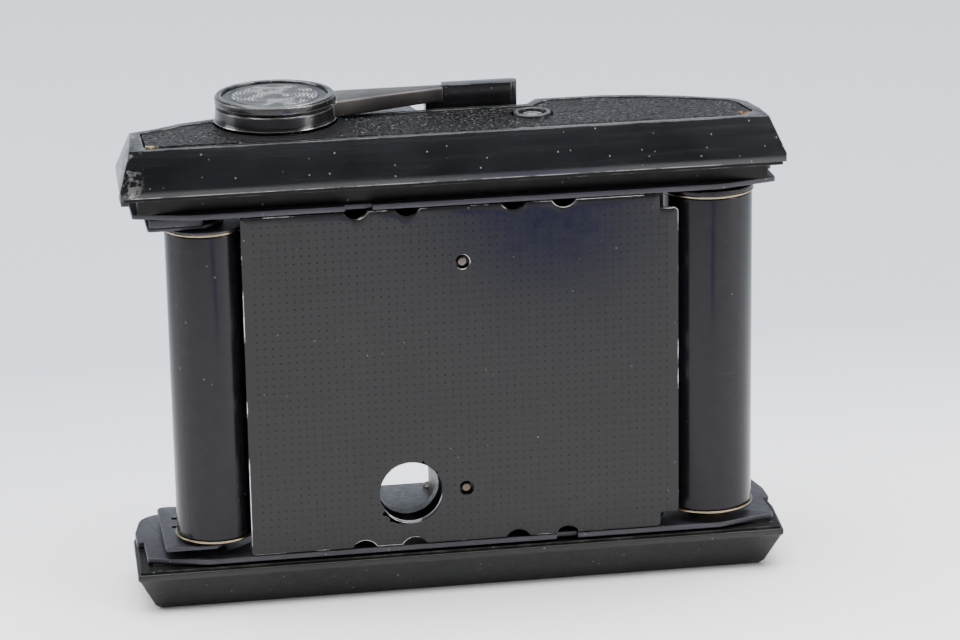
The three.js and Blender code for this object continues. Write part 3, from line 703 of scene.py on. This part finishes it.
# ---- frame plates -------------------------------------------------------------------
def plate_plan(x0, x1):
    """Plan of both frame plates, with a notch of the front edge from x0 to x1."""
    return outline([
        (-50.5, 0), (x0, 0, 0.25), (x0, 1.3, 0.3), (x1, 1.3, 0.3), (x1, 0, 0.25), (50.5, 0),
        (62, 3.3, 0.6), (62, 12.5), (63.4, 12.5, 0.5), (63.4, 18), (61.8, 26.2, 5), (54.6, 29.3),
        (31, 35.3, 6), (-31, 35.3, 6), (-54.6, 29.3), (-61.8, 26.2, 5), (-63.4, 18),
        (-63.4, 12.5, 0.5), (-62, 12.5), (-62, 3.3, 0.6),
    ])


SHEET = 1.0
SHAFT_HOLE = (*MEASURING_ROLLER[:2], 2.6)
stand_in("bottom_plate_sheet", plate(
    plate_plan(17.9, 22), LOW_PLATE - SHEET, LOW_PLATE, row,
    [(*HUB, 3.2), (*SUPPLY, 3.2), SHAFT_HOLE]), "bottom_plate")
stand_in("top_plate_sheet", plate(
    plate_plan(-22, -16.8), HIGH_PLATE, HIGH_PLATE + SHEET, row,
    [(*HUB, 3.6), (*SUPPLY, 2.1), SHAFT_HOLE]), "top_plate")

# ---- pressure plate -----------------------------------------------------------------
LEFT, RIGHT, LOW, HIGH = -42, 42.2, 10.5, 78.05
STEP_X, STEP_Z = 3.6, 2.8  # steps cut out of its right corners
DIMPLE_PITCH = 1.5
DIMPLE = (0.17, 0.11)  # radius and depth
FIRST_DIMPLE = (0.85, 11.6)
NOTCHES = (-20, -10.2, 10.2, 20)


def notch(x, z, way):
    """Points of a shallow round bite out of an edge; way is 1 at the low edge, -1 at the high."""
    radius, depth, sides = 2.67, 1.4, 14
    half = math.acos(1 - depth / radius)
    angles = [half * (2 * k / sides - 1) for k in range(sides + 1)]
    return [(x + way * radius * math.sin(a), z + way * (depth - radius + radius * math.cos(a)))
            for a in angles]


def pressure_plate():
    corners = [(LEFT, LOW, 0.4)]
    for x in NOTCHES:
        corners += notch(x, LOW, 1)
    corners += [
        (RIGHT - STEP_X, LOW, 0.8), (RIGHT - STEP_X, LOW + STEP_Z, 0.3),
        (RIGHT, LOW + STEP_Z, 0.8), (RIGHT, HIGH - STEP_Z, 0.8),
        (RIGHT - STEP_X, HIGH - STEP_Z, 0.3), (RIGHT - STEP_X, HIGH, 0.8),
    ]
    for x in reversed(NOTCHES):
        corners += notch(x, HIGH, -1)
    corners.append((LEFT, HIGH, 0.4))
    rim = outline(corners)
    margin = inset(rim, 0.9)
    holes = [SIGHT_HOLE] + [(x, z, 1.4) for x, z in GUIDE_PINS]
    pits = []
    for i in range(-28, 29):
        for j in range(46):
            u, v = FIRST_DIMPLE[0] + i * DIMPLE_PITCH, FIRST_DIMPLE[1] + j * DIMPLE_PITCH
            clear = all(math.hypot(u - x, v - z) > r + 0.55 for x, z, r in holes)
            if clear and inside(Vector((u, v)), margin):
                pits.append((u, v))
    panel = plate(rim, -1.4, 0, upright, holes, 0.16, pits, DIMPLE)
    seat = [(0.95, 1.2), (1.45, 1.2), (1.45, 1.4), (0.95, 1.4)]
    seats = [lathe(seat, segments=48, along=about_depth(*pin)) for pin in GUIDE_PINS]
    rims = [box((x, 1, LOW + 3.7), (x + 0.8, 2.1, HIGH - 3.7)) for x in (LEFT + 0.8, RIGHT - 1.6)]
    return joined(panel, *seats, *rims)


stand_in("pressure_plate_dimpled", pressure_plate(), "pressure_plate",
         edge_material=FINISHES["pressure_plate_edge"])

PIN_PROFILE = [tuple(p) for p in outline([
    (0, 0.35), (0.75, 0.35, 0.25), (1.05, 0.75, 0.15), (1.05, 1.1), (0.7, 1.1), (0.7, 4.8),
    (1.3, 4.8), (1.3, 5.35), (0.7, 5.35), (0.7, 6.65), (1.2, 6.65), (0.8, 7.1), (0, 7.1)])]
for node, pin in zip(("guide_pin_lower", "guide_pin_upper"), GUIDE_PINS):
    turned_pin = lathe(PIN_PROFILE, segments=40, along=about_depth(*pin))
    stand_in(node + "_turned", turned_pin, node)


# ---- rollers ------------------------------------------------------------------------
BORE = 1.65


def roller(side, place, z0, z1):
    """A roller tube from z0 to z1 with a washer at each end, 0.05 clear of it."""
    x, y, r = place
    wide = r + 0.3
    stand_in(side + "_roller_tube", turned(x, y, [
        (BORE, z0), (r, z0, 0.35), (r, z1, 0.35), (BORE, z1)], 160), side + "_roller")
    for end, low, high in (("lower", z0 - 0.45, z0 - 0.05), ("upper", z1 + 0.05, z1 + 0.45)):
        stand_in(f"{side}_washer_{end}", turned(x, y, [
            (BORE, low), (wide, low, 0.12), (wide, high, 0.12), (BORE, high)], 128),
            f"{side}_roller_washer_{end}")


roller("left", GUIDE_ROLLER, LOW_PLATE + 3.7, LOW_PLATE + 64.6)
roller("right", MEASURING_ROLLER, LOW_PLATE + 2.5, LOW_PLATE + 66.1)
stand_in("right_roller_flange", turned(*MEASURING_ROLLER[:2], [
    (BORE, 76.9), (9.1, 76.9, 0.2), (9.1, 77.8, 0.2), (BORE, 77.8)], 128), "right_roller_disc")
piece("left_roller_shim", turned(*GUIDE_ROLLER[:2], [
    (BORE, 75.37), (7.7, 75.37, 0.1), (7.7, 75.75, 0.1), (BORE, 75.75)], 128), "left_roller",
    material=FINISHES["anodised"])


# ---- left roller's brackets ----------------------------------------------------------
def bracket_plan(left, right, front):
    return outline([
        (left, front, 0.8), (right, front, 0.8), (-45.2, 4.6, 1.5), (-44.3, 7.5, 2),
        (-45.2, 11.4, 1.5), (right, 15, 1), (right, 24, 1), (left, 25, 1.5),
    ])


SHAFT = (*GUIDE_ROLLER[:2], 1.6)
stand_in("left_bracket_lower_sheet", joined(
    plate(bracket_plan(-58.5, -48.6, 1.2), 12, 12.8, row,
          [SHAFT, (-55.5, 17.8, 0.7), (-55.8, 13, 0.7)], 0.15),
    box((-58.2, 18.5, 10.35), (-49, 24, 12.3))), "left_bracket_lower")
stand_in("left_bracket_upper_sheet", joined(
    plate(bracket_plan(-59.3, -48.7, 2), 75.9, 76.7, row, [SHAFT], 0.2),
    box((-59, 18.5, 76.4), (-49.2, 24, 78.25)),
    box((-49.5, 2.8, 76.4), (-48.7, 5, 78.25), 0.2),
    box((-58.9, 2.2, 76.4), (-49.1, 3, 78.25))), "left_bracket_upper")


# ---- covers ------------------------------------------------------------------------
stand_in("top_cover_shell", refined("top_cover", 0.42), "top_cover")
stand_in("bottom_cover_shell", refined("bottom_cover", 0.3), "bottom_cover")
for neck in ("top_neck", "bottom_neck"):
    stand_in(neck + "_band", refined(neck, 0.1), neck, material=FINISHES["neck_satin"])


def leather_plan(less):
    """Plan of the panel's recess, moved inwards by less."""
    return inset(outline([
        (-59.1, 3.6, 0.5), (55, 3.3, 2), (58.4, 6.5, 2), (57, 14.5, 2), (55.4, 16.4, 2),
        (46.6, 20.3, 20), (39.4, 22.6, 20), (31.6, 24.1, 10), (20.6, 24.1, 2), (17.6, 20.4, 1),
        (-24, 20.4), (-31, 8.4), (-45.2, 21.4), (-50.3, 19.9, 4), (-55.4, 17.2, 4),
        (-59.1, 15.6, 1),
    ]), less)


def leather_sheet():
    """Sheet with a fine uneven face, its front left corner lifting from old glue."""
    rim = leather_plan(0.35)
    holes = [(*HUB, 12.0), (*WINDOW, 4.1)]
    within = inset(rim, 0.5)
    pitch = 0.9
    extra = []
    for i in range(int(118 / pitch)):
        for j in range(int(22 / pitch)):
            p = Vector((-60 + i * pitch + (j % 2) * pitch / 2, 3 + j * pitch))
            clear = all((p - Vector((x, y))).length > r + 0.5 for x, y, r in holes)
            if clear and inside(p, within):
                extra.append(p)

    def lift(u, v):
        ripple = 0.05 * noise.noise(Vector((u * 0.5, v * 0.5, 3.1)))
        corner = max(0.0, 1 - math.hypot((u + 59) / 9, (v - 3.6) / 4))
        return ripple + 0.45 * corner ** 1.5

    sheet = plate(rim, TOP_FACE - 0.85, TOP_FACE - 0.12, row, edge=0.18, extra=extra, lift=lift)
    return carved(sheet, [("DIFFERENCE", rod(*hole, 85, 96)) for hole in holes], 0)


stand_in("leather_sheet", leather_sheet(), "leather_panel")

# ---- counter window ------------------------------------------------------------------
stand_in("window_ring_turned", turned(*WINDOW, [
    (2.75, 86.3), (3.6, 86.3), (3.6, 92.1, 0.25), (2.75, 92.1, 0.2)], 80), "window_ring")
stand_in("window_glass", turned(*WINDOW, [
    (0, 90.2), (2.7, 90.2), (2.7, 91.5, 0.2), (1.5, 91.85, 3), (0, 91.9)], 64), "window_lens")

# ---- winding lever ------------------------------------------------------------------
stand_in("hub_cap_turned", turned(*HUB, [
    (0, 95.25), (11.3, 95.25, 0.06), (11.6, 95.55, 0.08), (11.6, 96.7, 0.1), (11.2, 97.1, 0.1),
    (10.35, 97.1, 0.12), (10.15, 96.8, 0.1), (10.15, 96.4), (0, 96.4)], 160), "hub_cap")
stand_in("hub_disc_engraved", turned(*HUB, [
    (0, 96.45), (10, 96.45), (10, 96.65, 0.08), (9.0, 96.65, 0.1), (8.9, 96.56, 0.05),
    (8.6, 96.56, 0.05), (8.5, 96.65, 0.05), (0, 96.65)], 160), "hub_disc")

ARM_START, ARM_LENGTH, ARM_END = -26, 26.55, 0.55
ARM_BACK, ARM_TOP = 26.2, 95.6
LEVER_TOP = 95.2


def arm():
    """Arm that leaves the hub along its front; its underside rises a little on the way."""
    points, faces, rings = [], [], []
    stations = 30
    for k in range(stations + 1):
        x = ARM_START + ARM_LENGTH * k / stations
        front = 23.3 - (ARM_END - x) * 0.29 - max(0, -11.5 - x) * 0.05
        low = 92.4 + max(0.0, (x + 20.9) / 21.5) * 0.4
        section = outline([(front, low, 0.45), (front, ARM_TOP, 0.5), (ARM_BACK, ARM_TOP, 0.5),
                           (ARM_BACK, low, 0.4)], 0.35)
        rings.append([len(points) + i for i in range(len(section))])
        points += [row(x, y, z) for y, z in section]
    for a, b in zip(rings, rings[1:]):
        for i in range(len(a)):
            j = (i + 1) % len(a)
            faces.append((a[i], a[j], b[j], b[i]))
    faces += [tuple(rings[0]), tuple(rings[-1])]
    return mesh_from(points, faces)


def wind_lever():
    """Turned body, arm and the tongue that the finger piece sits on."""
    body = turned(*HUB, [
        (3.3, 92.1), (11.95, 92.1, 0.1), (11.6, 92.75, 0.5), (11.5, 94.75, 0.1),
        (11.1, LEVER_TOP, 0.08), (3.3, LEVER_TOP)], 160)
    for face in body.polygons:
        face.material_index = 1
    cap_seat = lathe([(0, LEVER_TOP), (11.9, LEVER_TOP), (11.9, 97), (0, 97)], *HUB, 160)
    bar = carved(arm(), [("DIFFERENCE", cap_seat)], 0.1)
    tongue = box((-1, 24.5, 93.5), (13.4, 25.3, 94.7))
    return joined(body, bar, tongue)


stand_in("wind_lever_arm", wind_lever(), "wind_lever", edge_material=FINISHES["hub"])


def finger_piece():
    """Moulded grip with a slot for the lever's tongue and a heel under the arm's end."""
    low, top = 89.9, 96
    plan = outline([(0.6, 23.2, 0.1), (14, 23.2, 1.2), (15.3, 24.4, 1), (15.2, 26.5, 1),
                    (0.6, 26.5, 0.1)])
    heel = slab([(-2.9, 23.4), (2, 23.4), (2, 26.3), (-2.9, 26.3)], low, 92.5)
    slot = slab([(-1, 24.2), (13.7, 24.2), (13.7, 25.6), (-1, 25.6)], 92.9, 95)
    return carved(slab(plan, low, top), [("UNION", heel), ("DIFFERENCE", slot)], 0.28)


stand_in("finger_piece_moulded", finger_piece(), "finger_piece")


# ---- springs -------------------------------------------------------------------------
def spring(node):
    """A copy of the coil or leaf of a CAD node, shown instead of it."""
    live = stand_in(node + "_live", frame["nodes"][node].data.copy(), node)
    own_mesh(live)


for side in ("take_up", "supply"):
    spring(side + "_pin_spring")
for end in ("lower", "upper"):
    spring("leaf_spring_" + end)

# ---- frame screws --------------------------------------------------------------------
SCREWS = ((-43, 28.5), (56, 21.5), (-2, 32), (44, 28.5))
for k, (x, y) in enumerate(SCREWS):
    head = turned(x, y, [(0, 10.35), (1.9, 10.35), (1.9, 11.15, 0.3), (0, 11.15)], 48)
    turn = Matrix.Rotation(0.5 + 1.1 * k, 2)
    corners = [Vector(p) for p in ((-3, -0.2), (3, -0.2), (3, 0.2), (-3, 0.2))]
    slot = slab([Vector((x, y)) + turn @ p for p in corners], 10.8, 12)
    stand_in(f"frame_screw_{k + 1}_slotted", carved(head, [("DIFFERENCE", slot)], 0),
             f"frame_screw_{k + 1}")


# ---- studio -------------------------------------------------------------------------
def floor():
    """Pale sweep: a flat floor that curves up into a backdrop, with a painted pool of light by the
    object.
    """
    f = Finish("studio_sweep", roughness=0.7)
    depth = f.make("ShaderNodeSeparateXYZ", None, {"Vector": f.place}).outputs[1]
    # Painted pool of light: the colour is near white by the object and fades to a dimmer blue
    # further back.
    far = f.calc("ADD", f.span(depth, -0.03, 0.14), f.span(f.noise(3, 2), 0.3, 0.7, -0.02, 0.02))
    f.set(Base_Color=f.blend(far, (0.96, 0.95, 0.96), (0.475, 0.51, 0.565)))
    front, bend, radius, top, sides = -1.6, 0.5, 0.9, 2.4, 24
    profile = [(front, 0), (bend, 0)]
    for k in range(1, sides + 1):
        a = math.pi / 2 * k / sides
        profile.append((bend + radius * math.sin(a), radius - radius * math.cos(a)))
    profile.append((bend + radius, top))
    points = [Vector((x, y, z)) for y, z in profile for x in (-3, 3)]
    faces = [(2 * k, 2 * k + 1, 2 * k + 3, 2 * k + 2) for k in range(len(profile) - 1)]
    mesh = mesh_from(points, faces, "sweep")
    mesh.materials.append(f.material)
    for face in mesh.polygons:
        face.use_smooth = True
    obj = bpy.data.objects.new("studio_sweep", mesh)
    bpy.context.scene.collection.objects.link(obj)


floor()


def softbox(name, place, towards, size, power, colour=(1, 1, 1)):
    """Soft rectangular light at a place, aimed at another; size in metres, power in watts."""
    light = bpy.data.lights.new(name, "AREA")
    light.shape, light.size, light.size_y = "RECTANGLE", size[0], size[1]
    light.energy, light.color = power, colour
    obj = bpy.data.objects.new(name, light)
    obj.location = place
    obj.rotation_euler = (Vector(towards) - Vector(place)).to_track_quat("-Z", "Y").to_euler()
    bpy.context.scene.collection.objects.link(obj)


def surroundings():
    """Pale behind and above, with a dim bluish room in front of the object."""
    world = bpy.data.worlds.new("studio")
    world.use_nodes = True
    tree = world.node_tree
    way = tree.nodes.new("ShaderNodeTexCoord").outputs["Generated"]
    split = tree.nodes.new("ShaderNodeSeparateXYZ")
    ramp = tree.nodes.new("ShaderNodeValToRGB")
    tree.links.new(way, split.inputs[0])
    depth = tree.nodes.new("ShaderNodeMapRange")
    tree.links.new(split.outputs[1], depth.inputs["Value"])
    depth.inputs["From Min"].default_value = -1
    tree.links.new(depth.outputs[0], ramp.inputs[0])
    stops = ramp.color_ramp.elements
    stops[1].position = 0.36
    stops.new(0.62)
    colours = ((0.030, 0.034, 0.052), (0.05, 0.055, 0.07), (0.70, 0.75, 0.84))
    for stop, colour in zip(stops, colours):
        stop.color = (*colour, 1)
    tree.links.new(ramp.outputs[0], tree.nodes["Background"].inputs["Color"])
    tree.nodes["Background"].inputs["Strength"].default_value = 0.8
    bpy.context.scene.world = world


def card():
    """Deep blue card lying in front of the object, outside the view, that the film side mirrors."""
    f = Finish("blue_card", roughness=0.8)
    f.set(Base_Color=f.blend(f.noise(20, 2), (0.008, 0.03, 0.55), (0.012, 0.04, 0.65)))
    plan = ((0.042, -0.225), (0.072, -0.225), (0.13, -0.55), (0.052, -0.55))
    mesh = mesh_from([Vector((x, y, 0.004)) for x, y in plan], [(0, 1, 2, 3)], "blue_card")
    mesh.materials.append(f.material)
    obj = bpy.data.objects.new("blue_card", mesh)
    bpy.context.scene.collection.objects.link(obj)


surroundings()
card()
MIDDLE = (0, 0, 0.05)
softbox("side_right", (1.0, -0.62, 0.45), MIDDLE, (0.35, 1.0), 9)
softbox("side_left", (-1.2, 0.25, 0.5), MIDDLE, (0.5, 1.1), 10)
softbox("overhead", (0, 0.05, 1.15), MIDDLE, (1.5, 1.1), 52)

YAW, PITCH, ROLL, LEVEL = (math.radians(angle) for angle in (-8.978, -17.268, 1.022, 90))
camera = bpy.data.cameras.new("camera")
camera.lens, camera.sensor_width = 137.47, 36
camera_object = bpy.data.objects.new("camera", camera)
aim = (Matrix.Rotation(YAW, 3, "Z") @ Matrix.Rotation(PITCH, 3, "X")
       @ Matrix.Rotation(ROLL, 3, "Y") @ Matrix.Rotation(LEVEL, 3, "X"))
camera_object.matrix_world = Matrix.Translation((-0.10127, -0.67960, 0.26359)) @ aim.to_4x4()
bpy.context.scene.collection.objects.link(camera_object)
bpy.context.scene.camera = camera_object
